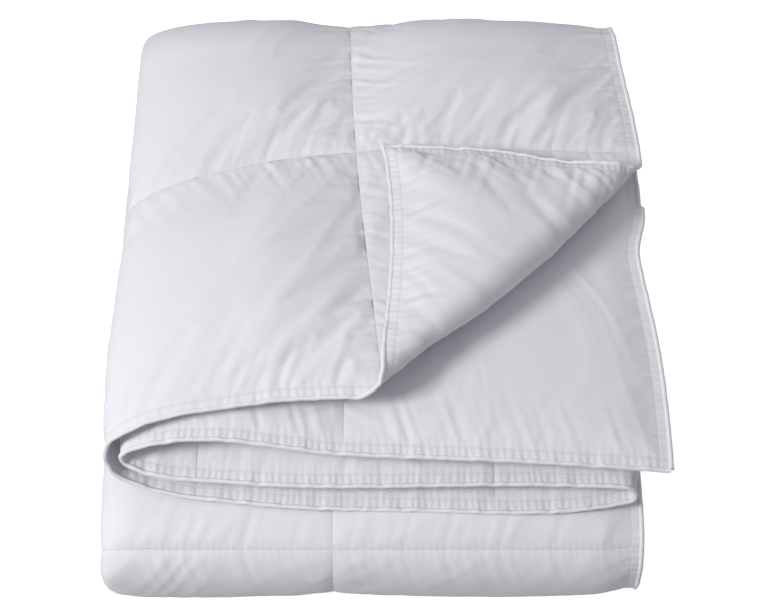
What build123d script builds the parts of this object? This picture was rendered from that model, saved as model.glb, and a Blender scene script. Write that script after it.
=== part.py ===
from build123d import *
import os

# The duvet laid flat: square boxes of down, sewn through along every seam.
box_pitch = 320.0
boxes_across = 7
boxes_along = 6

# It is folded in four across its width, then in three along its length.
# Layer a is the top one of the four, then b, c and d; third 1 is the top one of the three.
# Third 2 lies on the floor and third 3 is tucked in between, so a2 is the lowest layer.
panel_width = boxes_across * box_pitch / 4
third_length = boxes_along * box_pitch / 3

block_depth = third_length

# Thickness of the filled layers: pressed flat below, lofty on top.
clearance = 0.5
packed_layer = 14.5
loft = {"d1": 27.5, "c1": 27.5, "b1": 29.5, "a1": 35.5}
turned_loft = 25.5
packed_order = ["a2", "b2", "c2", "d2", "d3", "c3", "b3", "a3"]

# How far each layer of the top third stops short of the block's front.
hem_setback = {"d1": 41.0, "c1": 60.0, "b1": 74.0, "a1": 117.0}
hidden_hem_setback = 12.0

# Depth of one layer where it turns round at a fold, and of the hollow inside the back fold.
back_shell = 13.5
back_core = 20.0
front_shell = 12.5
side_shell = 19.5
side_core = 20.0
right_core = 25.0
right_fold_short = 18.0
left_bulge = 10.0

# The top layer's free corner is turned back over a diagonal crease.
turned_leg = 280.0
crease_gap = 1.0

# Corded edge all round the duvet.
cord_radius = 2.5
corner_softness = 0.42

front_y = -block_depth / 2
back_y = block_depth / 2
back_start = back_y - back_core - 4 * back_shell - 3 * clearance
front_start = front_y + 4 * front_shell + 3 * clearance
left_x = -panel_width / 2 - left_bulge
right_x = panel_width / 2
left_start = left_x + side_core + clearance + side_shell
right_start = right_x - right_fold_short - right_core
column_seam = right_x - box_pitch
hem_room = 2 * cord_radius + clearance

bottom = {}
top = {}
level = 0.0
for name in packed_order:
    bottom[name] = level
    top[name] = level + packed_layer
    level = top[name] + clearance
for name in loft:
    bottom[name] = level
    top[name] = level + loft[name]
    level = top[name] + clearance
turned_bottom = level

hem_y = {name: front_y + setback for name, setback in hem_setback.items()}
crease_start = (right_x - turned_leg, hem_y["a1"])
crease_end = (right_x, hem_y["a1"] + turned_leg)
turned_tip = (crease_start[0], crease_end[1])


def middle(name):
    """Height of the middle of a layer."""
    return (bottom[name] + top[name]) / 2


def pad(x_low, x_high, y_low, y_high, z_low, z_high):
    """A filled chamber with soft edges, flat enough underneath to lie on the next one."""
    size = (x_high - x_low, y_high - y_low, z_high - z_low)
    centre = Pos((x_low + x_high) / 2, (y_low + y_high) / 2, (z_low + z_high) / 2)
    body = Box(*size)
    return centre * fillet(body.edges(), corner_softness * size[2])


def layer_chamber(layer, x_low, x_high, y_low, y_high):
    """A chamber at the height of its layer, clear of its neighbours by half a gap."""
    half = clearance / 2
    return pad(x_low + half, x_high - half, y_low + half, y_high - half, bottom[layer], top[layer])


def fold(outward, edge, run, z_low, z_high, inner_low, inner_high, inner_depth, outer_depth):
    """Layers turning round at a fold: half an ellipse ring drawn outward and run along the edge."""
    across = Vector(*outward)
    plane = Plane(origin=edge, x_dir=across, z_dir=across.cross(Vector(0, 0, 1)))
    outer = Pos(0, (z_low + z_high) / 2) * Ellipse(outer_depth, (z_high - z_low) / 2)
    keep = Pos(outer_depth, (z_low + z_high) / 2) * Rectangle(2 * outer_depth, 2 * z_high)
    ring = outer & keep
    if inner_depth > 0:
        ring -= Pos(0, (inner_low + inner_high) / 2) * Ellipse(inner_depth, (inner_high - inner_low) / 2)
    return extrude(plane * ring, amount=run / 2, both=True)


def cord(start, end):
    """A straight length of the corded edge."""
    line = Vector(*end) - Vector(*start)
    return Solid.make_cylinder(cord_radius, line.length, Plane(origin=start, z_dir=line))


def cord_round_fold(outward, edge, z_low, z_high, depth):
    """The corded edge following a side fold round from one layer to the other."""
    across = Vector(*outward)
    plane = Plane(origin=edge, x_dir=across, z_dir=across.cross(Vector(0, 0, 1)))
    half_height = (z_high - z_low) / 2
    arc = Pos(0, (z_low + z_high) / 2) * EllipticalCenterArc((0, 0), depth, half_height, -90, arc_size=180)
    path = plane * arc
    section = Plane(origin=path @ 0, z_dir=path % 0) * Circle(cord_radius)
    return sweep(section, path=path)


def top_leaf_chambers():
    """The two front boxes of the top layer, the right one cut off along the turned crease."""
    seam_y = hem_y["a1"] + box_pitch
    low_y = hem_y["a1"] + hem_room
    left = layer_chamber("a1", left_start, column_seam, low_y, seam_y)
    right = layer_chamber("a1", column_seam, right_x - hem_room, low_y, seam_y)
    beyond = 2 * turned_leg
    cut_start = (crease_start[0] - crease_gap, crease_start[1])
    cut_end = (cut_start[0] + beyond, cut_start[1] + beyond)
    below = (cut_start[0] - beyond, cut_start[1] - beyond)
    off_corner = make_face(Polyline(below, cut_end, (cut_end[0], below[1]), close=True))
    right -= Pos(0, 0, bottom["a1"]) * extrude(off_corner, amount=loft["a1"])
    return {"chamber_a1_front_left": left, "chamber_a1_front_right": right}


def back_chambers():
    """The two back boxes of the top layer, up to where it turns down at the back."""
    seam_y = hem_y["a1"] + box_pitch
    return {
        "chamber_a1_back_left": layer_chamber("a1", left_start, column_seam, seam_y, back_start),
        "chamber_a1_back_right": layer_chamber("a1", column_seam, right_x - hem_room, seam_y, back_start),
    }


def turned_corner_chamber():
    """The corner of the top layer, lying upside down on the box it was turned back from."""
    inset = hem_room + crease_gap
    left = turned_tip[0] + hem_room
    high = turned_tip[1] - hem_room
    low_point = (left, crease_start[1] + hem_room + 2 * inset)
    right_point = (crease_end[0] - hem_room - 2 * inset, high)
    flat = make_face(Polyline(low_point, right_point, (left, high), close=True))
    body = Pos(0, 0, turned_bottom) * extrude(flat, amount=turned_loft)
    return fillet(body.edges(), corner_softness * turned_loft / 2)


def second_layer_chambers():
    """The four boxes of the second layer of the top third."""
    seam_y = hem_y["b1"] + box_pitch
    rows = {"front": (hem_y["b1"] + hem_room, seam_y), "back": (seam_y, back_start)}
    columns = {"left": (left_start, column_seam), "right": (column_seam, right_x - hem_room)}
    return {
        f"chamber_b1_{row}_{column}": layer_chamber("b1", *columns[column], *rows[row])
        for row in rows
        for column in columns
    }


def inner_layer_chambers(layer):
    """One of the two inner layers of the top third, as a front and a back row."""
    seam_y = hem_y[layer] + box_pitch
    low_y = hem_y[layer] + hem_room
    return {
        f"chamber_{layer}_front": layer_chamber(layer, left_start, right_start, low_y, seam_y),
        f"chamber_{layer}_back": layer_chamber(layer, left_start, right_start, seam_y, back_start),
    }


def packed_chamber(layer):
    """One pressed layer of the lower two thirds, over the whole width."""
    high_x = right_x - hem_room if layer[0] in "ab" else right_start
    high_y = back_start - hidden_hem_setback if layer[1] == "3" else back_start
    return layer_chamber(layer, left_start, high_x, front_start, high_y)


def back_fold(letter, place):
    """One layer turning down at the back, from the top third to the bottom one."""
    upper, lower = letter + "1", letter + "2"
    inner_depth = back_core + place * (back_shell + clearance)
    high_x = right_x - hem_room if letter in "ab" else right_start
    return fold(
        (0, 1, 0), ((left_start + high_x) / 2, back_start, 0), high_x - left_start - clearance,
        bottom[lower], top[upper], top[lower], bottom[upper], inner_depth, inner_depth + back_shell,
    )


def front_fold(letter, place):
    """One layer turning up at the front, from the bottom third to the middle one."""
    low, high = letter + "2", letter + "3"
    inner_depth = place * (front_shell + clearance)
    high_x = right_x - hem_room if letter in "ab" else right_start
    return fold(
        (0, -1, 0), ((left_start + high_x) / 2, front_start, 0), high_x - left_start - clearance,
        bottom[low], top[high], top[low], bottom[high], inner_depth, inner_depth + front_shell,
    )


def side_folds(number, low_y, high_y):
    """The three lengthwise folds of one third: outer and inner on the left, one on the right."""
    a, b, c, d = (letter + number for letter in "abcd")
    outer_low, outer_high = sorted((a, d), key=lambda name: bottom[name])
    inner_low, inner_high = sorted((b, c), key=lambda name: bottom[name])
    right_low, right_high = sorted((c, d), key=lambda name: bottom[name])
    run = high_y - low_y - clearance
    left_edge = (left_start, (low_y + high_y) / 2, 0)
    right_edge = (right_start, (low_y + high_y) / 2, 0)
    return {
        f"fold_left_outer_{number}": fold(
            (-1, 0, 0), left_edge, run, bottom[outer_low], top[outer_high],
            top[outer_low], bottom[outer_high], side_core + clearance, side_core + clearance + side_shell,
        ),
        f"fold_left_inner_{number}": fold(
            (-1, 0, 0), left_edge, run, bottom[inner_low], top[inner_high], 0, 0, 0, side_core,
        ),
        f"fold_right_{number}": fold(
            (1, 0, 0), right_edge, run, bottom[right_low], top[right_high], 0, 0, 0, right_core,
        ),
    }


def straight_hem(layer, x_low, x_high, low_y):
    """Corded edge along the front of a layer."""
    return cord((x_low, low_y + cord_radius, middle(layer)), (x_high, low_y + cord_radius, middle(layer)))


def side_hem(layer, low_y, high_y):
    """Corded edge along the free right side of a layer."""
    x = right_x - cord_radius
    return cord((x, low_y, middle(layer)), (x, high_y, middle(layer)))


def top_third_hems():
    """Corded edge of the top third, along its four front edges, its folds and its free sides."""
    seam_y = hem_y["a1"] + box_pitch
    fold_front = hem_y["d1"] + cord_radius
    outer_depth = side_core + clearance + side_shell / 2
    left_edge = (left_start, fold_front, 0)
    right_edge = (right_start, fold_front, 0)
    inset = cord_radius + clearance
    hem_start_x = left_start + clearance
    return {
        "hem_a1_front": straight_hem("a1", hem_start_x, crease_start[0] - crease_gap, hem_y["a1"]),
        "hem_a1_side_front": side_hem("a1", crease_end[1] + 2 * cord_radius, seam_y - clearance),
        "hem_a1_side_back": side_hem("a1", seam_y, back_start - clearance),
        "hem_b1_front": straight_hem("b1", hem_start_x, right_x - hem_room, hem_y["b1"]),
        "hem_b1_side": side_hem("b1", hem_y["b1"], back_start - clearance),
        "hem_c1_front": straight_hem("c1", hem_start_x, right_start - clearance, hem_y["c1"]),
        "hem_d1_front": straight_hem("d1", hem_start_x, right_start - clearance, hem_y["d1"]),
        "hem_fold_left_outer": cord_round_fold((-1, 0, 0), left_edge, middle("d1"), middle("a1"), outer_depth),
        "hem_fold_left_inner": cord_round_fold(
            (-1, 0, 0), left_edge, middle("c1"), middle("b1"), side_core - inset),
        "hem_fold_right": cord_round_fold((1, 0, 0), right_edge, middle("d1"), middle("c1"), right_core - inset),
    }


def turned_corner_hems():
    """Corded edge of the turned corner: its front hem now runs back, its side hem runs across."""
    z = turned_bottom + turned_loft / 2
    tip_x = turned_tip[0] + cord_radius
    tip_y = turned_tip[1] - cord_radius
    return {
        "hem_turned_front": cord((tip_x, crease_start[1] + 2 * hem_room, z), (tip_x, tip_y - hem_room, z)),
        "hem_turned_side": cord((tip_x - cord_radius, tip_y, z), (crease_end[0] - 2 * hem_room, tip_y, z)),
    }


def lower_hems():
    """Corded edge of the two lower thirds: the hidden end of the duvet and the free right sides."""
    parts = {}
    end_y = back_start - hidden_hem_setback + cord_radius + clearance
    for layer in ("a3", "b3", "c3", "d3"):
        high_x = right_x - hem_room if layer[0] in "ab" else right_start
        parts[f"hem_{layer}_end"] = cord((left_start, end_y, middle(layer)), (high_x, end_y, middle(layer)))
    for layer in ("a2", "b2"):
        parts[f"hem_{layer}_side"] = side_hem(layer, front_start, back_start)
    for layer in ("b3", "a3"):
        parts[f"hem_{layer}_side"] = side_hem(layer, front_start, end_y + cord_radius)
    return parts


def whole_duvet():
    """Every node of the folded duvet, by name."""
    parts = {}
    for layer in packed_order:
        parts[f"chamber_{layer}"] = packed_chamber(layer)
    for place, letter in enumerate("dcba"):
        parts[f"fold_front_{letter}"] = front_fold(letter, place)
        parts[f"fold_back_{letter}"] = back_fold(letter, place)
    parts.update(side_folds("2", front_start, back_start))
    parts.update(side_folds("3", front_start, back_start - hidden_hem_setback))
    parts.update(side_folds("1", hem_y["d1"] + hem_room, back_start))
    parts.update(lower_hems())
    for layer in ("d1", "c1"):
        parts.update(inner_layer_chambers(layer))
    parts.update(second_layer_chambers())
    parts.update(back_chambers())
    parts.update(top_leaf_chambers())
    parts.update(top_third_hems())
    parts["chamber_turned_corner"] = turned_corner_chamber()
    parts.update(turned_corner_hems())
    return parts


os.makedirs("parts", exist_ok=True)
for name, shape in whole_duvet().items():
    export_step(shape, f"parts/{name}.step")
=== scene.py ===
import bpy
import math
import numpy as np
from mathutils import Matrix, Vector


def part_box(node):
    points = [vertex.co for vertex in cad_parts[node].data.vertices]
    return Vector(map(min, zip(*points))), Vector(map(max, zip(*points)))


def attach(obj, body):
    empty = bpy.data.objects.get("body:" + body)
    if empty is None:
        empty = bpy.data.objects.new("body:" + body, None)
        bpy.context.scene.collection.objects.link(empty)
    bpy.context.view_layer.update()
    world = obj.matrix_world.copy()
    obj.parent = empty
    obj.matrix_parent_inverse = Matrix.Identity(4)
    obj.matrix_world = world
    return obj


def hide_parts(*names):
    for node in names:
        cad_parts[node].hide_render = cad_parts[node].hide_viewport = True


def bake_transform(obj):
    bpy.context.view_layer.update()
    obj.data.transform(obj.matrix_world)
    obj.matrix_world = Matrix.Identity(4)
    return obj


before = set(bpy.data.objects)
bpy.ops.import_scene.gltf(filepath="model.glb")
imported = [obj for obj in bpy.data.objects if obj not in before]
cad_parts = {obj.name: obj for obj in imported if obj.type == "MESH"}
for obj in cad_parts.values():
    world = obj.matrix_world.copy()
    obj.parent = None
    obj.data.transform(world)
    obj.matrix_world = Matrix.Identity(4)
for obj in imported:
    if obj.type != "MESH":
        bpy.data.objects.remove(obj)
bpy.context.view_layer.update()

# ---------------------------------------------------------------- camera, floor and light
# A plain studio: a white floor inside a ball of white backdrop, neither of which lights the cloth
# by bounce. One soft key light stands at the front left, with weak fills above and behind.
view_tilt = math.radians(57)
view_distance = 2.30
view_aim = (0.0, -0.022, 0.120)
frame_width = 770
focal_in_frame_widths = 2083 / frame_width
sensor_width = 36.0

camera_data = bpy.data.cameras.new("camera")
camera_data.sensor_width = sensor_width
camera_data.lens = focal_in_frame_widths * sensor_width
camera = bpy.data.objects.new("camera", camera_data)
camera.location = (
    view_aim[0],
    view_aim[1] - view_distance * math.cos(view_tilt),
    view_aim[2] + view_distance * math.sin(view_tilt),
)
camera.rotation_euler = (math.pi / 2 - view_tilt, 0, 0)
bpy.context.scene.collection.objects.link(camera)
bpy.context.scene.camera = camera

floor_size = 12
floor_drop = 0.0005
backdrop_radius = 9


def studio_white(name, shade, glow, roughness):
    """A plain white that glows, so that it comes out evenly white."""
    paint = bpy.data.materials.new(name)
    paint.use_nodes = True
    skin = paint.node_tree.nodes["Principled BSDF"]
    skin.inputs["Base Color"].default_value = (shade, shade, shade, 1)
    skin.inputs["Emission Color"].default_value = (1, 1, 1, 1)
    skin.inputs["Emission Strength"].default_value = glow
    skin.inputs["Roughness"].default_value = roughness
    return paint


bpy.ops.object.select_all(action="DESELECT")
bpy.ops.mesh.primitive_plane_add(size=floor_size, location=(0, 0, -floor_drop))
floor = bpy.context.object
floor.name = "floor"
floor.data.materials.append(studio_white("floor_white", 0.97, 0.70, 0.9))
floor.visible_diffuse = False

bpy.ops.mesh.primitive_uv_sphere_add(segments=48, ring_count=24, radius=backdrop_radius)
backdrop = bpy.context.object
backdrop.name = "backdrop"
backdrop.data.materials.append(studio_white("backdrop_white", 0.0, 1.0, 0.5))
backdrop.visible_diffuse = False
backdrop.visible_glossy = False
backdrop.visible_shadow = False


def soft_light(name, location, size, power, colour):
    """A square soft box that faces the duvet."""
    data = bpy.data.lights.new(name, "AREA")
    data.shape = "SQUARE"
    data.size = size
    data.energy = power
    data.color = colour
    lamp = bpy.data.objects.new(name, data)
    lamp.location = location
    aim = np.array(view_aim) - np.array(location)
    lamp.rotation_euler = (
        math.atan2(math.hypot(aim[0], aim[1]), -aim[2]),
        0,
        math.atan2(aim[1], aim[0]) - math.pi / 2,
    )
    bpy.context.scene.collection.objects.link(lamp)


warm_light = (1.0, 0.995, 0.985)
cool_light = (0.97, 0.98, 1.0)
soft_light("key_left", (-1.9, -1.10, 2.05), 0.7, 53, warm_light)
soft_light("fill_top", (-0.2, -0.3, 3.0), 2.2, 8, cool_light)
soft_light("fill_back", (1.7, 2.5, 1.5), 1.6, 9, cool_light)
bpy.context.scene.view_settings.view_transform = "Standard"
world = bpy.context.scene.world or bpy.data.worlds.new("world")
bpy.context.scene.world = world
world.use_nodes = True
sky = world.node_tree.nodes["Background"]
sky.inputs["Color"].default_value = (0.93, 0.95, 1.0, 1)
sky.inputs["Strength"].default_value = 0.315

# ---------------------------------------------------------------- how the cloth lies
# The duvet is one quilt of square boxes, 7 across and 6 along. It is folded in four across and
# in three along; a point of it is told by boxes across from the free side hem (q, 0 to 7) and
# boxes along from the front hems (r, 0 to 6).
box_pitch = 0.320
boxes_across = 7
boxes_along = 6


def middle(node):
    """Height of the middle of a CAD pad."""
    low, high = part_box(node)
    return (low.z + high.z) / 2


# The four layers of each third are a, b, c and d, from the outside of the fold to its inside.
top_pads = ("chamber_a1_front_left", "chamber_b1_front_left", "chamber_c1_front", "chamber_d1_front")
loft_levels = [middle(n) for n in top_pads]
bottom_levels = [middle(f"chamber_{n}2") for n in "abcd"]
middle_levels = [middle(f"chamber_{n}3") for n in "abcd"]
piping_radius = 0.0025
back_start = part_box("chamber_a2")[1].y
front_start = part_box("chamber_a2")[0].y
free_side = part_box("hem_b1_side")[1].x - piping_radius
left_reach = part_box("fold_left_outer_1")[0].x
right_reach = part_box("fold_right_1")[1].x


def ease(x):
    """A smooth step from 0 to 1 as x goes from 0 to 1."""
    x = np.clip(x, 0.0, 1.0)
    return x * x * (3 - 2 * x)


def through(knots, x):
    """A smooth curve through a few (place, value) knots."""
    at = np.array([k[0] for k in knots], float)
    to = np.array([k[1] for k in knots], float)
    slope = np.gradient(to, at)
    i = np.clip(np.searchsorted(at, x, side="right") - 1, 0, len(at) - 2)
    width = at[i + 1] - at[i]
    u = np.clip((x - at[i]) / width, 0.0, 1.0)
    u2, u3 = u * u, u * u * u
    return (
        (2 * u3 - 3 * u2 + 1) * to[i] + (u3 - 2 * u2 + u) * width * slope[i]
        + (3 * u2 - 2 * u3) * to[i + 1] + (u3 - u2) * width * slope[i + 1]
    )


bluntness = 0.80


def blunt(value, power=bluntness):
    """A sine or cosine swelled out, so that an oval gets fuller shoulders."""
    return np.sign(value) * np.abs(value) ** power


def even_turn(share, flatness):
    """Angle round half an oval, from +90 to -90 degrees, after a share of its length."""
    angle = np.linspace(math.pi / 2, -math.pi / 2, 129)
    x = flatness * blunt(np.cos(angle))
    z = blunt(np.sin(angle))
    length = np.concatenate([[0], np.cumsum(np.hypot(np.diff(x), np.diff(z)))])
    return np.interp(share, length / length[-1], angle)


# Where the folds lie along q, how sharp the right one is, and how long the left ones' curves are.
outer_fold = 1.75
right_fold = (3.40, 3.60)
right_turn = 0.024
right_flatness = 1.7
inner_fold = 5.25
outer_hug = 0.9
inner_hug = 1.05


def across(q, levels, reach, taper_out, taper_in, free_side):
    """Where the cloth lies across its width: a on top, round the left fold to d, right fold to c,
    inner left fold to b. levels are the heights of a, b, c and d."""
    a, b, c, d = levels
    out_apex, in_apex, right_apex = reach
    out_low = outer_fold - outer_hug * taper_out / box_pitch
    out_high = outer_fold + outer_hug * taper_out / box_pitch
    in_low = inner_fold - inner_hug * taper_in / box_pitch
    in_high = inner_fold + inner_hug * taper_in / box_pitch
    right_low, right_high = right_fold
    q = np.asarray(q, float)
    seam = free_side - box_pitch
    out_x = out_apex + taper_out
    in_x = in_apex + taper_in
    right_x = right_apex - right_turn
    turn_out = even_turn((q - out_low) / (out_high - out_low), taper_out / (0.5 * (a - d)))
    turn_right = -even_turn((q - right_low) / (right_high - right_low), right_flatness)
    turn_in = -even_turn((q - in_low) / (in_high - in_low), taper_in / (0.5 * (b - c)))
    runs = [q < out_low, q < out_high, q < right_low, q < right_high, q < in_low, q < in_high]
    x = np.select(
        [q < 1] + runs + [q < 6],
        [
            free_side + (seam - free_side) * q,
            seam + (out_x - seam) * (q - 1) / (out_low - 1),
            out_x - taper_out * blunt(np.cos(turn_out)),
            out_x + (right_x - out_x) * (q - out_high) / (right_low - out_high),
            right_x + right_turn * blunt(np.cos(turn_right)),
            right_x + (in_x - right_x) * (q - right_high) / (in_low - right_high),
            in_x - taper_in * blunt(np.cos(turn_in)),
            in_x + (seam - in_x) * (q - in_high) / (6 - in_high),
        ],
        seam + (free_side - seam) * (q - 6),
    )
    z = np.select(
        runs,
        [
            a + 0 * q,
            (a + d) / 2 + (a - d) / 2 * blunt(np.sin(turn_out)),
            d + 0 * q,
            (c + d) / 2 + (c - d) / 2 * blunt(np.sin(turn_right)),
            c + 0 * q,
            (b + c) / 2 + (b - c) / 2 * blunt(np.sin(turn_in)),
        ],
        b + 0 * q,
    )
    return x, z


# Where the front hems lie from front to back and how far they lift, then the sway of the side hems
# and of the first seam. Each pair is a place along the hem and a distance in metres.
hem_y = [
    (0.0, -0.203), (0.9, -0.203), (1.35, -0.205), (1.6, -0.222), (1.75, -0.242), (1.9, -0.256),
    (2.2, -0.268), (2.7, -0.273), (3.3, -0.274), (3.5, -0.266), (3.7, -0.262), (4.9, -0.258),
    (5.15, -0.252), (5.25, -0.243), (5.4, -0.236), (6.0, -0.244), (6.6, -0.250), (7.0, -0.256),
]
hem_lift = [
    (0.0, 0.010), (1.0, 0.010), (1.4, 0.004), (1.75, 0.0), (2.1, -0.006), (3.2, -0.008),
    (3.5, -0.004), (3.8, -0.006), (4.8, -0.006), (5.25, 0.004), (5.45, 0.012), (6.0, 0.0),
    (6.6, -0.006), (7.0, -0.014),
]
side_wave = [
    (0.0, 0.0), (0.43, 0.0), (0.62, -0.005), (0.72, -0.007), (0.85, 0.003), (1.0, 0.0), (6.0, 0.0),
]
side_flare = [
    (0.0, 0.0), (1.2, 0.0), (1.5, -0.002), (1.75, -0.006), (2.0, -0.002), (2.4, 0.0), (6.0, 0.0),
    (6.5, 0.003), (7.0, 0.014),
]
seam_sag = [(0.0, 0.0), (1.0, 0.0), (1.4, -0.018), (1.75, -0.048), (2.2, -0.020), (7.0, 0.0)]
seam_slant = [(0.0, 0.041), (1.0, 0.011), (2.0, 0.0), (6.0, 0.0)]
run_back = [(0.0, 0.0), (1.0, 0.705), (1.5, 1.0)]

# How far each fold reaches, and how long its taper is: the outer left fold, the inner left fold.
back_taper = 0.020
packed_side = free_side - 0.012
top_reach = (left_reach + 0.010, left_reach + 0.022, right_reach - 0.004)
top_tapers = (0.105, 0.055)
packed_reach = (left_reach - 0.001, left_reach + 0.026, right_reach - 0.004)
packed_tapers = (0.040, 0.022)

# The bends between the thirds: which rows they take, and how far they stand out at the back and
# front. A layer stands out by inner_depth, and the outermost one by outer_depth more.
back_rows = (1.50, 2.50)
front_rows = (3.62, 4.12)
end_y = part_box("hem_a3_end")[1].y
inner_depth = 0.030
outer_depth = 0.066
back_fullness = 0.78
corner_squareness = 2.4
corner_end = 2.5
front_depth = 0.006
front_outer_depth = 0.046
low_front_fullness = 0.40
high_front_fullness = 0.90


def lie(q, r):
    """Middle of the quilt's thickness at a point of the cloth."""
    q, r = np.broadcast_arrays(np.asarray(q, float), np.asarray(r, float))
    x1, z1 = across(q, loft_levels, top_reach, *top_tapers, free_side)
    x2, z2 = across(q, bottom_levels, packed_reach, *packed_tapers, packed_side)
    x3, z3 = across(q, middle_levels, packed_reach, *packed_tapers, packed_side)
    outwardness = (bottom_levels[3] - z2) / (bottom_levels[3] - bottom_levels[0])
    squared = 1 - (1 - outwardness) ** corner_squareness
    outwardness = np.where(q < corner_end, squared, outwardness)
    # The top third, from the front hems to the back.
    hem = through(hem_y, q)
    forward = ease(1 - r / 0.9)
    sag = through(seam_sag, q) * np.exp(-((r - 1.0) / 0.45) ** 2) * ease(r / 0.5)
    y_top = hem + (back_start - hem) * through(run_back, r) + sag
    z_top = z1 + through(hem_lift, q) * forward
    x_top = x1 + through(side_flare, q) * forward + through(side_wave, r) * ease((q - 6.3) / 0.7)
    slant = through(seam_slant, r) * np.where(q < 1, q, np.clip((1.7 - q) / 0.7, 0, 1))
    x1 = x1 - back_taper * ease((x1 + 0.05) / 0.33) * ease((r - 0.9) / 0.9)
    x1 = x1 + 0.004 * ease((r - 0.9) / 0.5) * np.exp(-((q - outer_fold) / 0.35) ** 2)
    x_top = np.where(r > 0.9, x1, x_top) + slant
    x1 = x1 + slant
    # The back bend, down to the bottom third.
    back_share = np.clip((r - back_rows[0]) / (back_rows[1] - back_rows[0]), 0, 1)
    turn_back = math.pi * (0.5 - back_share)
    depth = inner_depth + outer_depth * outwardness
    y_back = back_start + depth * blunt(np.cos(turn_back), back_fullness)
    z_back = (z1 + z2) / 2 + (z1 - z2) / 2 * np.sin(turn_back)
    blend = (1 + np.sin(turn_back)) / 2
    x_back = x2 + (x1 - x2) * blend
    # The bottom third, the front bend and the middle third tucked in over it.
    y_low = back_start + (front_start - back_start) * (r - back_rows[1]) / (front_rows[0] - back_rows[1])
    front_share = np.clip((r - front_rows[0]) / (front_rows[1] - front_rows[0]), 0, 1)
    turn_front = math.pi * (front_share - 0.5)
    fullness = np.where(turn_front < 0, low_front_fullness, high_front_fullness)
    reach_out = front_depth + front_outer_depth * outwardness
    y_front = front_start - reach_out * blunt(np.cos(turn_front), fullness)
    z_front = (z2 + z3) / 2 + (z3 - z2) / 2 * np.sin(turn_front)
    y_mid = front_start + (end_y - front_start) * (r - front_rows[1]) / (boxes_along - front_rows[1])
    parts = [r < back_rows[0], r < back_rows[1], r < front_rows[0], r < front_rows[1]]
    return np.stack(
        [
            np.select(parts, [x_top, x_back, x2, x2], x3),
            np.select(parts, [y_top, y_back, y_low, y_front], y_mid),
            np.select(parts, [z_top, z_back, z2, z_front], z3),
        ],
        axis=-1,
    )


# The free corner of the top layer is turned back over a soft roll that runs at 45 degrees.
crease_point = (0.0, hem_y[0][1])
# The turned part droops at its hems, its side hem bows and its tip is pulled a little back.
turn_radius = 0.0150
turn_start = -math.pi * turn_radius / 2
turned_reach = 0.18
turned_stretch = 0.026
turned_droop = 0.012
droop_width = 0.035
edge_bow = 0.010
edge_sway = 0.009


def past_crease(x, y):
    """Distance beyond the crease, towards the corner."""
    return ((x - crease_point[0]) - (y - crease_point[1])) / math.sqrt(2)


def cloth(q, r):
    """Middle of the quilt's thickness, with the corner of the top layer turned back."""
    place = lie(q, r)
    x, y, z = place[..., 0], place[..., 1], place[..., 2]
    u = past_crease(x, y)
    angle = np.clip((u - turn_start) / turn_radius, 0, math.pi)
    beyond = np.maximum(u - turn_start - math.pi * turn_radius, 0)
    new_u = np.minimum(u, turn_start) + turn_radius * np.sin(angle) - beyond
    turned = (q < 1.2) & (r < 1.2) & (u > turn_start)
    shift = np.where(turned, new_u - u, 0.0) / math.sqrt(2)
    near_hem = np.exp(-np.minimum(np.asarray(q), np.asarray(r)) * box_pitch / droop_width)
    lift = turn_radius * (1 - np.cos(angle)) - turned_droop * near_hem * ease(beyond / 0.05)
    along_side = np.clip(1 - (y - crease_point[1]) / (free_side + 0.01), 0, 1)
    bow = edge_bow * np.sin(math.pi * along_side ** 0.8) * ease(beyond / 0.10)
    stretch = np.where(turned, turned_stretch * beyond / turned_reach, 0.0)
    down_front = np.clip(np.asarray(q, float) / 0.86, 0, 1)
    sway = edge_sway * np.sin(math.pi * down_front ** 0.8) * ease(1 - np.asarray(r, float))
    new_x = x + shift + np.where(turned, sway, 0.0)
    new_y = y - shift + stretch + bow * turned
    new_z = z + np.where(turned, lift, 0.0)
    return np.stack([new_x, new_y, new_z], axis=-1)


# ---------------------------------------------------------------- the filled boxes
# Two panels of white down-proof cambric are sewn to each other along every seam with down
# between them; each box swells, and the slack cloth gathers into puckers along the stitching.
# A patch of two boxes by two is inflated as cloth, and its relief serves every box.
# The sewing draws the cloth in by patch_slack and askew by patch_skew.
patch_cells = 64
patch_slack = 0.032
patch_skew = 0.013
patch_frames = 34
sewn_by = 14
unsewn_crown = 0.006
unsewn_ripple = 0.0006


def places(piece):
    """Where a piece's points are, one to a row."""
    flat = np.zeros(len(piece.data.vertices) * 3)
    piece.data.vertices.foreach_get("co", flat)
    return flat.reshape(-1, 3)


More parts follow.
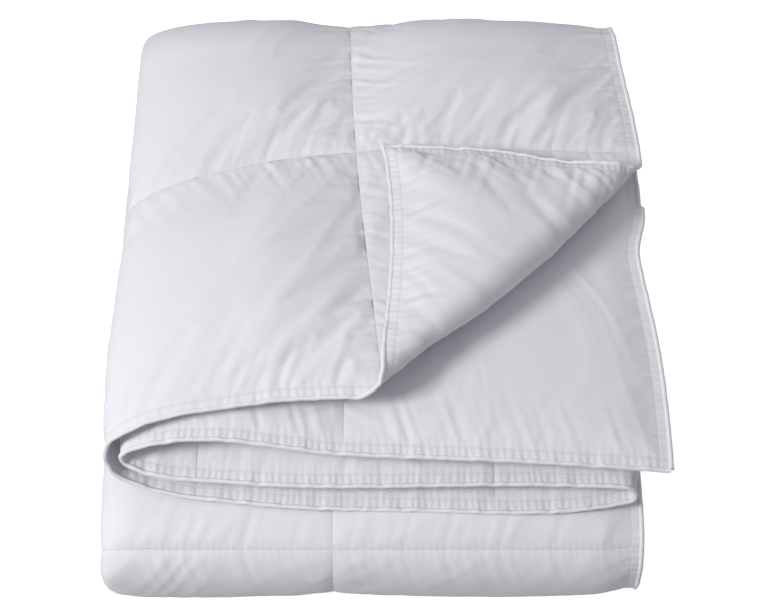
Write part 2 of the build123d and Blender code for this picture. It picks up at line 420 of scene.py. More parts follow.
def inflate_patch():
    """Relief of two by two boxes: sideways and upward shift of the cloth on an even grid."""
    bpy.ops.object.select_all(action="DESELECT")
    cells = 2 * patch_cells
    bpy.ops.mesh.primitive_grid_add(
        x_subdivisions=cells, y_subdivisions=cells, size=2 * box_pitch, location=(0, 0, 0)
    )
    patch = bpy.context.object
    flat = places(patch)
    x, y = flat[:, 0], flat[:, 1]
    crown = np.abs(np.sin(math.pi * x / box_pitch)) * np.abs(np.sin(math.pi * y / box_pitch))
    waves = [(1, 60, 37, 0), (1, -45, 80, 1), (0.7, 130, -20, 2), (0.5, 20, 150, 4)]
    ripple = sum(a * np.sin(x * kx + y * ky + phase) for a, kx, ky, phase in waves)
    start = flat.copy()
    start[:, 2] = unsewn_crown * np.sqrt(crown) + unsewn_ripple * ripple * (crown > 1e-6)
    sewn = start.copy()
    sewn[:, 0] = x * (1 - patch_slack) + patch_skew * y
    sewn[:, 1] = y * (1 - patch_slack) + patch_skew * x
    patch.data.vertices.foreach_set("co", start.ravel())
    patch.shape_key_add(name="cut")
    drawn_in = patch.shape_key_add(name="sewn")
    drawn_in.data.foreach_set("co", sewn.ravel())
    drawn_in.value = 0
    drawn_in.keyframe_insert("value", frame=1)
    drawn_in.value = 1
    drawn_in.keyframe_insert("value", frame=sewn_by)
    cell = box_pitch / patch_cells
    off_seam = [np.abs(v / box_pitch - np.round(v / box_pitch)) * box_pitch for v in (x, y)]
    stitched = np.minimum(*off_seam) < 0.4 * cell
    group = patch.vertex_groups.new(name="stitched")
    group.add([int(i) for i in np.nonzero(stitched)[0]], 1.0, "REPLACE")
    cambric = patch.modifiers.new("Cloth", "CLOTH")
    settings = cambric.settings
    settings.quality = 5
    settings.mass = 0.3
    settings.tension_stiffness = 20
    settings.compression_stiffness = 20
    settings.shear_stiffness = 7
    settings.bending_stiffness = 2.5
    settings.tension_damping = 5
    settings.compression_damping = 5
    settings.shear_damping = 5
    settings.air_damping = 2
    settings.use_pressure = True
    settings.uniform_pressure_force = 8
    settings.vertex_group_mass = "stitched"
    settings.effector_weights.gravity = 0
    cambric.collision_settings.use_collision = False
    cambric.point_cache.frame_start = 1
    cambric.point_cache.frame_end = patch_frames
    for moment in range(1, patch_frames + 1):
        bpy.context.scene.frame_set(moment)
    evaluated = patch.evaluated_get(bpy.context.evaluated_depsgraph_get())
    done = np.zeros(len(flat) * 3)
    evaluated.to_mesh().vertices.foreach_get("co", done)
    relief = done.reshape(-1, 3) - sewn * (1, 1, 0)
    bpy.context.scene.frame_set(1)
    order = np.lexsort((np.round(x, 5), np.round(y, 5)))
    grid = relief[order].reshape(cells + 1, cells + 1, 3)
    bpy.data.objects.remove(patch)
    return grid


def twice_as_fine(grid, axis):
    """A cubic point between each two along an axis."""
    g = np.moveaxis(grid, axis, 0)
    padded = np.concatenate([2 * g[:1] - g[1:2], g, 2 * g[-1:] - g[-2:-1]])
    between = (-padded[:-3] + 9 * padded[1:-2] + 9 * padded[2:-1] - padded[3:]) / 16
    fine = np.empty((2 * len(g) - 1,) + g.shape[1:])
    fine[::2] = g
    fine[1::2] = between
    return np.moveaxis(fine, 0, axis)


relief = twice_as_fine(twice_as_fine(inflate_patch(), 0), 1)
relief_top = relief[..., 2].max()
relief_cells = relief.shape[0] - 1
hem_band = 0.010
thread_tight = 0.0009
thread_least = thread_tight * 0.8


def patch_sample(i, j):
    """Relief at places in the patch, in cells from its corner."""
    i0 = np.clip(np.floor(i).astype(int), 0, relief_cells - 1)
    j0 = np.clip(np.floor(j).astype(int), 0, relief_cells - 1)
    fi, fj = (i - i0)[..., None], (j - j0)[..., None]
    low = relief[j0, i0] * (1 - fi) + relief[j0, i0 + 1] * fi
    high = relief[j0 + 1, i0] * (1 - fi) + relief[j0 + 1, i0 + 1] * fi
    return low * (1 - fj) + high * fj


def in_box(v, boxes):
    """Which box a place is in and how far through it, with a flat band along the outer hems."""
    number = np.clip(np.floor(v + 1e-9), 0, boxes - 1)
    share = np.clip(v - number, 0, 1)
    band = hem_band / box_pitch
    share = np.where(number == 0, np.clip((share - band) / (1 - band), 0, 1), share)
    share = np.where(number == boxes - 1, np.clip(share / (1 - band), 0, 1), share)
    return number, share


def half_height(node):
    """Half the height of a CAD pad."""
    low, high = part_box(node)
    return (high.z - low.z) / 2


half_loft = [half_height(n) for n in top_pads]
half_packed = half_height("chamber_a2")
top_crown = 0.0260
turned_crown = 0.0185
tucked_crown = 0.0075
front_bulge_height = 0.009


def half_thickness(q, r, outer, place):
    """Room for a box's crown on one side of the quilt."""
    a, b, c, d = half_loft
    loft = [
        (0, a), (1.4, a), (1.75, 0.45 * a), (2.0, d), (3.4, d), (3.5, 0.7 * d), (3.6, c), (5.1, c),
        (5.25, 0.6 * c), (5.4, b), (7, b),
    ]
    lofty = through(loft, q)
    packed = half_packed + 0 * q
    front_bulge = np.exp(-((r - 3.95) / 0.35) ** 2) * ease((1.9 - q) / 0.3) * front_bulge_height
    share = ease((2.1 - r) / 0.7)
    stretched = 1 - 0.35 * np.exp(-((r - 1.85) / 0.28) ** 2) * ease((1.9 - q) / 0.3)
    room = (packed + (lofty - packed) * share) * stretched
    on_top = ease((1.72 - q) / 0.45) * ease((1.78 - r) / 0.6)
    room = np.where(outer, room + front_bulge + (top_crown - a) * on_top, room)
    corner_box = (q < 1) & (r < 1)
    u = past_crease(place[..., 0], place[..., 1])
    inside_roll = tucked_crown * (1 - 0.45 * np.exp(-(u / 0.05) ** 2))
    outside_roll = half_loft[0] + (turned_crown - half_loft[0]) * ease((u + 0.03) / 0.06)
    outside_roll = outside_roll * (1 - 0.5 * np.exp(-(u / 0.045) ** 2))
    return np.where(corner_box, np.where(outer, inside_roll, outside_roll), room)


gather_lengths = (0.0105, 0.0142, 0.0193, 0.0271, 0.0415)
gather_weights = (0.20, 0.34, 0.40, 0.26, 0.22)


def waver(s, seed):
    """An uneven wave along a seam, about 1 at most; s is the way along it in metres."""
    s = np.asarray(s, float)
    total = 0
    for k, (length, weight) in enumerate(zip(gather_lengths, gather_weights)):
        phase = 2.3 * k * (1 + np.sin(seed * 3.1 + k))
        total = total + weight * np.sin(2 * math.pi * s / length + 1.7 * seed + phase)
    return total


chance_rows, chance_columns = 97, 89
chance = np.random.default_rng(11).random((chance_rows, chance_columns))


def patchy(a, b):
    """Smooth uneven values between 0 and 1 over a plane, one lump to a unit."""
    i, j = np.floor(a).astype(int), np.floor(b).astype(int)
    fa, fb = ease(a - i), ease(b - j)

    def lump(di, dj):
        return chance[(i + di) % chance_rows, (j + dj) % chance_columns]

    low = lump(0, 0) * (1 - fa) + lump(1, 0) * fa
    high = lump(0, 1) * (1 - fa) + lump(1, 1) * fa
    return low * (1 - fb) + high * fb


wrinkle_height = 0.0046
wrinkle_slant = math.radians(52)
slant_drift = 0.25
wide_wrinkle = (0.170, 0.0210)
narrow_wrinkle = (0.100, 0.0115)


def sharpened(lumps):
    """Turns smooth lumps into ridges with a narrow back."""
    return (1 - np.abs(2 * lumps - 1)) ** 2.0


def wrinkles(q, r, inner_face):
    """Long straight creases that run slantwise over the cloth and die away in the middle of a box."""
    x = np.where(inner_face, 1, -1) * q * box_pitch
    y = r * box_pitch
    drift = slant_drift * (patchy(x / 0.21 + 7, y / 0.17 + 3) - 0.5)
    slant = wrinkle_slant + drift
    along = x * np.cos(slant) + y * np.sin(slant)
    over = -x * np.sin(slant) + y * np.cos(slant)
    wide = sharpened(patchy(along / wide_wrinkle[0] + 21, over / wide_wrinkle[1] + 5))
    narrow = sharpened(patchy(along / narrow_wrinkle[0] + 3, over / narrow_wrinkle[1] + 31))
    seam_away = np.minimum(np.abs(q - np.round(q)), np.abs(r - np.round(r))) * box_pitch
    where_gathered = 0.40 + 0.60 * np.exp(-(seam_away / 0.075) ** 2)
    some = ease(1.9 * patchy(along / 0.13 + 11, over / 0.055 + 17) - 0.35)
    close_to_seam = ease(seam_away / 0.012)
    return wrinkle_height * (0.62 * wide + 0.38 * narrow) * where_gathered * some * close_to_seam


small_step = 0.004


def facing(q, r):
    """Which way the outer face looks at a place of the cloth."""
    along_q = cloth(q + small_step, r) - cloth(q - small_step, r)
    along_r = cloth(q, r + small_step) - cloth(q, r - small_step)
    out = np.cross(along_r, along_q)
    return out / (np.linalg.norm(out, axis=-1, keepdims=True) + 1e-12)


pucker_height = 0.0014
short_pucker = 0.006
long_pucker = 0.016
pucker_slope = 0.35


def gathered(distance, strong):
    """How tall the gathers are at a distance from the stitching."""
    short = (distance / short_pucker) * np.exp(1 - distance / short_pucker) * 0.4
    return short + (distance / long_pucker) * np.exp(1 - distance / long_pucker) * strong


def puckers(q, r, inner_face):
    """Short gathers across the stitching of each seam and hem."""
    side = np.where(inner_face, 5.0, 0.0)
    seam_q, seam_r = np.round(q), np.round(r)
    from_q = np.abs(q - seam_q) * box_pitch
    from_r = np.abs(r - seam_r) * box_pitch
    hem_q = (seam_q == 0) | (seam_q == boxes_across)
    hem_r = (seam_r == 0) | (seam_r == boxes_along)
    from_q = np.where(hem_q, np.maximum(from_q - hem_band, 0), from_q)
    from_r = np.where(hem_r, np.maximum(from_r - hem_band, 0), from_r)
    tall_q = gathered(from_q, np.where(hem_q, 1.15, 0.8))
    tall_r = gathered(from_r, np.where(hem_r, 1.15, 0.8))
    gather_q = waver(r * box_pitch + pucker_slope * from_q, seam_q + side) * tall_q
    gather_r = waver(q * box_pitch + pucker_slope * from_r, seam_r + 11 + side) * tall_r
    fade_q = ease(from_r / 0.02)
    fade_r = ease(from_q / 0.02)
    fade_q = fade_q * (0.15 + 1.1 * patchy(r * 7.1 + 3, seam_q + side + 0.5))
    fade_r = fade_r * (0.15 + 1.1 * patchy(q * 7.1 + 40, seam_r + side + 0.5))
    return pucker_height * (gather_q * fade_q + gather_r * fade_r)


ruffle_height = 0.0010
fine_ruffle_height = 0.0005


def ruffle(q, r):
    """The hems rise and fall a little where the stitching gathers them."""
    out_q = np.minimum(q, boxes_across - q) * box_pitch
    out_r = np.minimum(r, boxes_along - r) * box_pitch
    lengthwise = waver(r * box_pitch * 0.62, 3) * np.exp(-out_q / 0.014)
    crosswise = waver(q * box_pitch * 0.62, 8) * np.exp(-out_r / 0.014)
    fine_q = waver(r * box_pitch * 1.3, 21) * np.exp(-out_q / 0.009)
    fine_r = waver(q * box_pitch * 1.3, 27) * np.exp(-out_r / 0.009)
    return ruffle_height * (lengthwise + crosswise) + fine_ruffle_height * (fine_q + fine_r)


# A box's two faces stand up from its seams: over a low baffle wall, and no steeper than this.
sideways_slack = 0.35
baffle_height = 0.010
seam_steepness = 1.0
seam_wall = 0.0035
rounding = 0.0022
floor_clearance = 0.0004


def quilt(q, r, inner):
    """Places on the faces of the quilt: inner is 0 on its outer face and 1 on its inner face."""
    across_box, share_q = in_box(q, boxes_across)
    along_box, share_r = in_box(r, boxes_along)
    inner_face = inner > 0.5
    mirrored = np.isin(across_box, (0, 1, 4))
    u = np.where(mirrored ^ inner_face, 1 - share_q, share_q)
    v = np.where(inner_face & ~mirrored, 1 - share_r, share_r)
    tile_q = (across_box + inner_face) % 2
    tile_r = along_box % 2
    half = relief_cells / 2
    sample = patch_sample((tile_q + u) * half, (tile_r + v) * half)
    flip_q = np.where(mirrored ^ inner_face, -1, 1)
    flip_r = np.where(inner_face & ~mirrored, -1, 1)
    wander = sideways_slack / box_pitch
    at_q = q + flip_q * sample[..., 0] * wander
    at_r = r + flip_r * sample[..., 1] * wander
    middle_place = cloth(at_q, at_r)
    out = facing(at_q, at_r)
    room = half_thickness(q, r, ~inner_face, lie(q, r))
    share = (np.maximum(sample[..., 2], 0) / relief_top) ** 1.40
    smooth = (np.abs(np.sin(math.pi * share_q)) * np.abs(np.sin(math.pi * share_r))) ** 0.75
    pressed = np.maximum(ease((q - 1.6) / 0.4), ease((r - 2.2) / 0.3))
    share = share + (smooth - share) * 0.65 * pressed
    hem_away = np.minimum(np.minimum(q, boxes_across - q), np.minimum(r, boxes_along - r)) * box_pitch
    baffle = (0.10 + 0.38 * pressed) * ease((hem_away - hem_band) / 0.035)
    share = (1 - baffle) * share
    wall = baffle_height * baffle
    creases = puckers(q, r, inner_face) + wrinkles(q, r, inner_face)
    creases = creases * (1 - 0.5 * pressed)
    offset = thread_tight + wall + room * share + creases * np.minimum(room / 0.012, 1)
    band_q = np.minimum(q, boxes_across - q) * box_pitch - hem_band
    band_r = np.minimum(r, boxes_along - r) * box_pitch - hem_band
    from_q = np.minimum(np.abs(q - np.round(q)) * box_pitch, np.abs(band_q))
    from_r = np.minimum(np.abs(r - np.round(r)) * box_pitch, np.abs(band_r))
    steepest = thread_tight + seam_wall + wall + seam_steepness * np.minimum(from_q, from_r)
    # The lower of the two heights holds, with a rounded change from one to the other.
    offset = -rounding * np.log(np.exp(-offset / rounding) + np.exp(-steepest / rounding))
    offset = np.maximum(offset, thread_least)
    signed = np.where(inner_face, -offset, offset) + ruffle(q, r)
    place = middle_place + out * signed[..., None]
    place[..., 2] = np.maximum(place[..., 2], floor_clearance)
    return place


class Wire:
    """A value inside the cloth's material, which can be added, multiplied and compared."""

    def __init__(self, tree, socket):
        self.tree = tree
        self.socket = socket

    def node(self, kind, out=0, settings=None, **inputs):
        made = self.tree.nodes.new(kind)
        for key, value in (settings or {}).items():
            setattr(made, key, value)
        for key, value in inputs.items():
            place = made.inputs[int(key[1:]) if key[1:].isdigit() else key]
            if isinstance(value, Wire):
                self.tree.links.new(value.socket, place)
            else:
                place.default_value = value
        return Wire(self.tree, made.outputs[out])

    def maths(self, operation, *values):
        named = {f"i{k}": v for k, v in enumerate(values)}
        return self.node("ShaderNodeMath", settings={"operation": operation}, **named)

    def __add__(self, other):
        return self.maths("ADD", self, other)

    def __radd__(self, other):
        return self.maths("ADD", other, self)

    def __sub__(self, other):
        return self.maths("SUBTRACT", self, other)

    def __rsub__(self, other):
        return self.maths("SUBTRACT", other, self)

    def __mul__(self, other):
        return self.maths("MULTIPLY", self, other)

    def __rmul__(self, other):
        return self.maths("MULTIPLY", other, self)

    def __truediv__(self, other):
        return self.maths("DIVIDE", self, other)

    def __rtruediv__(self, other):
        return self.maths("DIVIDE", other, self)

    def __lt__(self, other):
        return self.maths("LESS_THAN", self, other)

    def __gt__(self, other):
        return self.maths("GREATER_THAN", self, other)


# The weave and the rows of stitching are finer than the mesh, so they are in the material; the stitch
# rows are sunk by bump and carry painted shade.
thread = 0.00055
weave_height = 0.00004
slub_height = 0.00016
stitch_length = 0.0026
stitch_width = 0.0009
stitch_depth = 0.0006
stitch_groove_painted_shade = 0.09
needle_hole = 0.34
gather_pitch = 0.0076
hem_gather_reach = 0.024
hem_gather_height = 0.00032
seam_gather_reach = 0.014
seam_gather_height = 0.00016


def cloth_material(name, tint, stitch_rows):
    """Down-proof cambric: close plain weave, slightly uneven in tone; stitch rows get painted shade."""
    made = bpy.data.materials.new(name)
    made.use_nodes = True
    tree = made.node_tree
    skin = tree.nodes["Principled BSDF"]
    start = Wire(tree, None)
    uv = start.node("ShaderNodeUVMap", settings={"uv_map": "cloth"})
    u = start.node("ShaderNodeSeparateXYZ", out=0, i0=uv)
    v = Wire(tree, u.socket.node.outputs[1])
    tone = start.node("ShaderNodeTexNoise", Vector=uv, Scale=9.0, Detail=3.0, Roughness=0.6)
    slub = start.node("ShaderNodeTexNoise", Vector=uv, Scale=140.0, Detail=2.0, Roughness=0.7)
    tau = 2 * math.pi
    warp = start.maths("SINE", u * (tau / thread))
    weft = start.maths("SINE", v * (tau / thread))
    weave = warp * weft
    shade = 0.985 + 0.03 * tone - 0.012 * slub + 0.006 * weave
    height = weave_height * weave + slub_height * slub
    if stitch_rows:
        rows = []
        for along, sideways, count in ((u, v, boxes_along), (v, u, boxes_across)):
            box_number = sideways / box_pitch
            off = start.maths("ABSOLUTE", box_number - start.maths("ROUND", box_number)) * box_pitch
            edge = start.maths("MINIMUM", sideways, count * box_pitch - sideways)
            inside = edge > 0.02
            hem = start.maths("ABSOLUTE", edge - hem_band)
            distance = start.maths("ABSOLUTE", off * inside + hem * (1 - inside) - 0.0004)
            stitch = start.maths("FRACT", along / stitch_length)
            hole = start.maths("ABSOLUTE", stitch - 0.5) > needle_hole
            wave = start.maths("SINE", along * (tau / gather_pitch) + 16.0 * tone)
            near_hem = start.maths("MAXIMUM", 0.0, 1 - edge / hem_gather_reach)
            near_seam = start.maths("MAXIMUM", 0.0, 1 - off / seam_gather_reach)
            height = height + wave * (hem_gather_height * near_hem + seam_gather_height * near_seam)
            in_row = 1 - start.maths("MINIMUM", 1.0, distance / stitch_width)
            rows.append(in_row * (0.35 + 0.65 * hole))
        # Painted shade: the stitch rows are darkened in colour, most at the needle holes, where the groove
        # of the stitching lies.
        stitch_groove_and_shade = start.maths("MAXIMUM", *rows)
        shade = shade - stitch_groove_painted_shade * stitch_groove_and_shade
        height = height - stitch_depth * stitch_groove_and_shade
    colour = start.node("ShaderNodeVectorMath", settings={"operation": "SCALE"}, i0=tint, Scale=shade)
    bump = start.node("ShaderNodeBump", Strength=0.6, Distance=1.0, Height=height)
    rough = 0.70 + 0.10 * tone
    tree.links.new(colour.socket, skin.inputs["Base Color"])
    tree.links.new(bump.socket, skin.inputs["Normal"])
    tree.links.new(rough.socket, skin.inputs["Roughness"])
    skin.inputs["Sheen Weight"].default_value = 0.12
    skin.inputs["Sheen Roughness"].default_value = 0.45
    skin.inputs["Specular IOR Level"].default_value = 0.30
    return made


cambric_white = cloth_material("cambric_white", (0.828, 0.818, 0.860), True)
piping_white = cloth_material("piping_white", (0.85, 0.842, 0.872), False)
seam_angle = math.radians(70)


def pattern_piece(name, q_range, r_range, cells):
    """An even sheet of the flat pattern."""
    bpy.ops.object.select_all(action="DESELECT")
    bpy.ops.mesh.primitive_grid_add(
        x_subdivisions=cells[0],
        y_subdivisions=cells[1],
        size=1,
        location=(sum(q_range) / 2, sum(r_range) / 2, 0),
    )
    piece = bpy.context.object
    piece.name = piece.data.name = name
    piece.scale = (q_range[1] - q_range[0], r_range[1] - r_range[0], 1)
    bpy.ops.object.transform_apply(location=True, rotation=False, scale=True)
    return piece


def lay_weave(piece, flat, measure):
    """The weave runs with the flat pattern, in metres."""
    corners = np.zeros(len(piece.data.loops), int)
    piece.data.loops.foreach_get("vertex_index", corners)
    weave = piece.data.uv_layers.get("cloth") or piece.data.uv_layers.new(name="cloth")
    weave.data.foreach_set("uv", (flat[corners, :2] * measure).ravel())


def sewn_box(name, q_range, r_range, step, cuts=()):
    """A closed piece of the quilt: a flat pattern with two faces, laid where the cloth lies."""
    cells = [max(4, round((high - low) * box_pitch / step)) for low, high in (q_range, r_range)]
    piece = pattern_piece(name, q_range, r_range, cells)
    bpy.ops.object.mode_set(mode="EDIT")
    for point, direction in cuts:
        bpy.ops.mesh.select_all(action="SELECT")
        bpy.ops.mesh.bisect(plane_co=point, plane_no=direction, clear_outer=True)
    bpy.ops.mesh.select_all(action="SELECT")
    bpy.ops.mesh.extrude_region_move(TRANSFORM_OT_translate={"value": (0, 0, 1)})
    bpy.ops.object.mode_set(mode="OBJECT")
    flat = places(piece)
    lay_weave(piece, flat, box_pitch)
    piece.data.vertices.foreach_set("co", quilt(flat[:, 0], flat[:, 1], flat[:, 2]).ravel())
    piece.data.update()
    bpy.ops.object.shade_smooth()
    piece.data.set_sharp_from_angle(angle=seam_angle)
    piece.data.materials.append(cambric_white)
    return piece


# ---------------------------------------------------------------- the bottom and middle thirds
# Rows 3 to 5 of the boxes. The quilt's bottom third lies on the floor and its middle third is
# tucked in over it; both lie packed under the top third and stay where they are.
# close, fine and coarse are steps of the mesh in metres, coarser where less is seen.
close = 0.0026
fine = 0.0036
coarse = 0.0052
lower_boxes = [
    ("right", (0, 1), fine, ("chamber_a2", "fold_front_a", "chamber_a3")),
    ("left", (1, 2), fine, ("fold_left_outer_2", None, "fold_left_outer_3")),
    ("under_middle", (2, 3), coarse, ("chamber_d2", "fold_front_d", "chamber_d3")),
    ("under_right", (3, 4), coarse, ("fold_right_2", None, "fold_right_3")),
    ("inner_middle", (4, 5), coarse, ("chamber_c2", "fold_front_c", "chamber_c3")),
    ("inner_left", (5, 6), coarse, ("fold_left_inner_2", None, "fold_left_inner_3")),
    ("second_right", (6, 7), coarse, ("chamber_b2", "fold_front_b", "chamber_b3")),
]
for strip, q_range, step, nodes in lower_boxes:
    for number, row, node in zip((3, 4, 5), ("low_front", "mid_front", "mid_back"), nodes):
        row_step = step if number < 5 else coarse
        box = sewn_box(f"box_{strip}_{row}", q_range, (number, number + 1), row_step)
        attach(box, "lower_bundle")
        if node:
            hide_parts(node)

# ---------------------------------------------------------------- the back bends
# Rows 1 and 2. Each layer turns up at the back, from the bottom third to the top third. The top
# layer is cut where its leaf begins.
bend_row = 1.62
bend_strips = [
    ("right", (0, 1), 0, fine, "fold_back_a", None),
    ("left", (1, 1.75), 0, fine, None, None),
    ("under_left", (1.75, 2), 3, coarse, None, None),
    ("under_middle", (2, 3), 3, coarse, "fold_back_d", "chamber_d1_back"),
    ("under_right", (3, 3.5), 3, coarse, None, None),
    ("inner_right", (3.5, 4), 2, coarse, None, None),
    ("inner_middle", (4, 5), 2, coarse, "fold_back_c", "chamber_c1_back"),
    ("inner_left", (5, 5.25), 2, coarse, None, None),
    ("second_left", (5.25, 6), 1, coarse, "fold_back_b", "chamber_b1_back_left"),
    ("second_right", (6, 7), 1, coarse, None, "chamber_b1_back_right"),
]
for strip, q_range, layer, step, low_node, top_node in bend_strips:
    from_row = bend_row if layer == 0 else 1
    for row, r_range, node in (("low_back", (2, 3), low_node), ("back", (from_row, 2), top_node)):
        if layer == 0 and row == "back":
            row = "back_bend"
        row_step = close if row == "back_bend" else step
        box = sewn_box(f"box_{strip}_{row}", q_range, r_range, row_step)
        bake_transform(box)
        if node:
            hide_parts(node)

# ---------------------------------------------------------------- the top third
# Row 0 of its lower three layers, which lie loose on one another. They are folded round the
# right fold and the inner left fold, and show their hems at the front.
front_strips = [
    ("under_left", (1.75, 2), close, []),
    ("under_middle", (2, 3), fine, ["chamber_d1_front"]),
    ("under_right", (3, 4), fine, ["fold_right_1"]),
    ("inner_middle", (4, 5), fine, ["chamber_c1_front"]),
    ("inner_left", (5, 6), close, ["fold_left_inner_1", "chamber_b1_front_left"]),
    ("second_right", (6, 7), close, ["chamber_b1_front_right"]),
]
for strip, q_range, step, nodes in front_strips:
    box = sewn_box(f"box_{strip}_front", q_range, (0, 1), step)
    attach(box, "top_third")
    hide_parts(*nodes)

# ---------------------------------------------------------------- the top leaf
# Rows 0 and 1 of the top layer, from the left fold to the free side hem, by which the leaf lifts.
leaf_seam_y = float(cloth(np.array(0.5), np.array(1.0))[1])
box = sewn_box("box_left_front", (1, 1.75), (0, 1), close)
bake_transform(box)
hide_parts("fold_left_outer_1", "chamber_a1_front_left")
box = sewn_box("box_left_back", (1, 1.75), (1, bend_row), close)
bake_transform(box)
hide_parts("chamber_a1_back_left")
box = sewn_box("box_right_back", (0, 1), (1, bend_row), close)
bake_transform(box)
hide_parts("chamber_a1_back_right")

# ---------------------------------------------------------------- the turned corner
# The leaf's front corner box, turned back over the top so that the lower panel shows. It is in
# three parts: what lies flat, the soft roll, and the turned corner itself.
def on_pattern(x, y):
    """The flat pattern's place for a point of the unturned top layer."""
    q = (free_side - x) / box_pitch
    guess = np.linspace(0, 1, 400)
    r = guess[np.argmin(np.abs(lie(np.full(len(guess), q), guess)[:, 1] - y))]
    return np.array([q, r, 0.0])


roll_reach = 0.026
roll_half = roll_reach * math.sqrt(2)
front_y = crease_point[1]
line_low = [on_pattern(-roll_half, front_y), on_pattern(free_side, front_y + free_side + roll_half)]
line_high = [on_pattern(roll_half, front_y), on_pattern(free_side, front_y + free_side - roll_half)]


def cut(line, keep_corner):
    """A cut of the pattern along a line, that keeps one side of it."""
    along = line[1] - line[0]
    normal = np.array([along[1], -along[0], 0.0])
    if normal[0] + normal[1] < 0:
        normal = -normal
    return tuple(line[0]), tuple(normal if keep_corner else -normal)


box = sewn_box("box_right_front", (0, 1), (0, 1), close, [cut(line_low, False)])
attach(box, "top_leaf")
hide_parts("chamber_a1_front_right")
box = sewn_box("box_right_front_roll", (0, 1), (0, 1), close, [cut(line_low, True), cut(line_high, False)])
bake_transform(box)
box = sewn_box("box_right_front_corner", (0, 1), (0, 1), close, [cut(line_high, True)])
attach(box, "turned_corner")
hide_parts("chamber_turned_corner")

# ---------------------------------------------------------------- the corded edge
# A thin cord wrapped in the same cambric is sewn into all four hems of the duvet, as one piping
# round the whole edge. It is made in lengths, each where its stretch of hem lies.
piping_step = 0.0022
piping_sides = 12
piping_girth = 0.0157
piping_stands_out = 0.0014
piping_unevenness = 0.05
cord_angle = math.radians(60)
weld = 0.00005


def piping(name, edge, reach):
    """A length of piping: edge is ("q", 0) for a side hem or ("r", 0) for an end hem."""
    which, at = edge
    outward = -1 if at == 0 else 1
    steps = max(3, round((reach[1] - reach[0]) * box_pitch / piping_step))
    piece = pattern_piece(name, reach, (0, 1), (steps, piping_sides))
    flat = places(piece)
    lay_weave(piece, flat, (box_pitch, piping_girth))
    s = flat[:, 0]
    fixed = np.full_like(s, float(at))
    if which == "q":
        q, r = fixed, s
        inward = (-outward * small_step, 0)
    else:
        q, r = s, fixed
        inward = (0, -outward * small_step)
    centre = cloth(q, r)
    aside = centre - cloth(q + inward[0], r + inward[1])
    up = facing(q, r)
    aside -= up * (aside * up).sum(axis=1, keepdims=True)
    aside /= np.linalg.norm(aside, axis=1, keepdims=True) + 1e-12
    turn = flat[:, 1:2] * 2 * math.pi
    radius = piping_radius * (1 + piping_unevenness * waver(s * box_pitch * 0.8, 5))[:, None]
    place = centre + aside * piping_stands_out + up * ruffle(q, r)[:, None]
    place = place + radius * (np.cos(turn) * aside + np.sin(turn) * up)
    place[:, 2] = np.maximum(place[:, 2], floor_clearance)
    piece.data.vertices.foreach_set("co", place.ravel())
    piece.data.update()
    bpy.ops.object.mode_set(mode="EDIT")
    bpy.ops.mesh.select_all(action="SELECT")
    bpy.ops.mesh.remove_doubles(threshold=weld)
    bpy.ops.mesh.fill_holes(sides=0)
    bpy.ops.mesh.normals_make_consistent(inside=False)
    bpy.ops.object.mode_set(mode="OBJECT")
    bpy.ops.object.shade_smooth()
    piece.data.set_sharp_from_angle(angle=cord_angle)
    piece.data.materials.append(piping_white)
    return piece


def crossing(line, axis):
    """Where a cut of the corner box meets the front hem (axis 0) or the side hem (axis 1)."""
    (q0, r0, _), (q1, r1, _) = line
    if axis == 0:
        return q0 + (q1 - q0) * (0 - r0) / (r1 - r0)
    return r0 + (r1 - r0) * (0 - q0) / (q1 - q0)


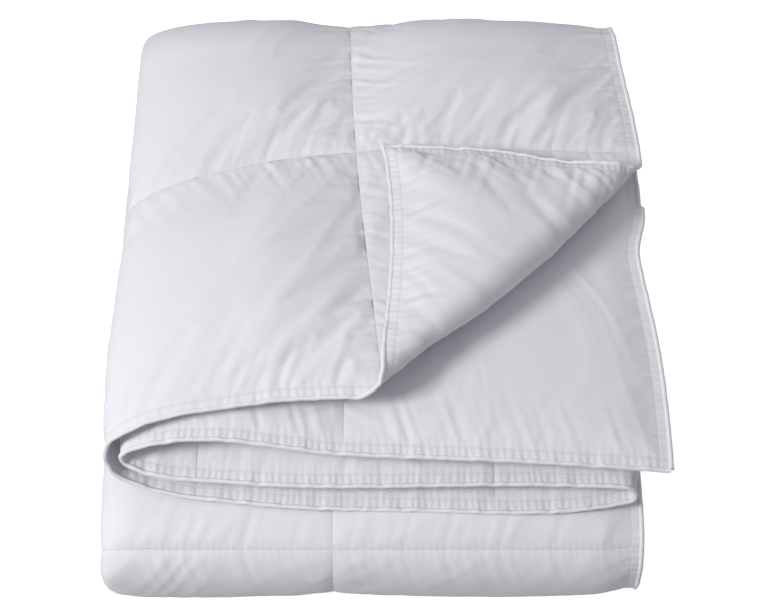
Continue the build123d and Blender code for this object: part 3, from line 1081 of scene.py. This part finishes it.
front_low = crossing(line_low, 0)
front_high = crossing(line_high, 0)
side_low = crossing(line_low, 1)
side_high = crossing(line_high, 1)
front = ("r", 0)
end = ("r", boxes_along)
side_a = ("q", 0)
side_b = ("q", boxes_across)
unbent_piping = [
    ("piping_turned_front", front, (0, front_high), "turned_corner", ["hem_turned_front"]),
    ("piping_turned_side", side_a, (0, side_high), "turned_corner", ["hem_turned_side"]),
    ("piping_leaf_front", front, (front_low, 1), "top_leaf", ["hem_a1_front"]),
    ("piping_leaf_side", side_a, (side_low, 1), "top_leaf", ["hem_a1_side_front"]),
    ("piping_under_front", front, (1.75, 3.3), "top_third", ["hem_d1_front"]),
    ("piping_right_fold", front, (3.3, 3.7), "top_third", ["hem_fold_right"]),
    ("piping_inner_front", front, (3.7, 5.0), "top_third", ["hem_c1_front"]),
    ("piping_inner_fold", front, (5.0, 5.5), "top_third", ["hem_fold_left_inner"]),
    ("piping_second_front", front, (5.5, 7), "top_third", ["hem_b1_front"]),
    ("piping_second_side", side_b, (0, 1.3), "top_third", ["hem_b1_side"]),
    ("piping_low_side", side_a, (2.6, 4), "lower_bundle", ["hem_a2_side"]),
    ("piping_mid_side", side_a, (4, 6), "lower_bundle", ["hem_a3_side"]),
    ("piping_second_low_side", side_b, (2.6, 4), "lower_bundle", ["hem_b2_side"]),
    ("piping_second_mid_side", side_b, (4, 6), "lower_bundle", ["hem_b3_side"]),
    ("piping_end_top", end, (0, 1.75), "lower_bundle", ["hem_a3_end"]),
    ("piping_end_under", end, (1.75, 3.5), "lower_bundle", ["hem_d3_end"]),
    ("piping_end_inner", end, (3.5, 5.25), "lower_bundle", ["hem_c3_end"]),
    ("piping_end_second", end, (5.25, 7), "lower_bundle", ["hem_b3_end"]),
]
for name, edge, reach, body, nodes in unbent_piping:
    cord = piping(name, edge, reach)
    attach(cord, body)
    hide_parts(*nodes)
cord = piping("piping_leaf_fold", front, (1, 1.75))
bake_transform(cord)
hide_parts("hem_fold_left_outer")
cord = piping("piping_leaf_side_back", side_a, (1, bend_row))
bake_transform(cord)
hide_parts("hem_a1_side_back")
roll_piping = [
    ("piping_roll_front", front, (front_high, front_low)),
    ("piping_roll_side", side_a, (side_high, side_low)),
]
for name, edge, reach in roll_piping:
    cord = piping(name, edge, reach)
    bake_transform(cord)
bend_piping = [
    ("piping_bend_side", side_a, (bend_row, 2.6), 0),
    ("piping_second_bend_side", side_b, (1.3, 2.6), 1),
]
for name, edge, reach, layer in bend_piping:
    cord = piping(name, edge, reach)
    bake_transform(cord)
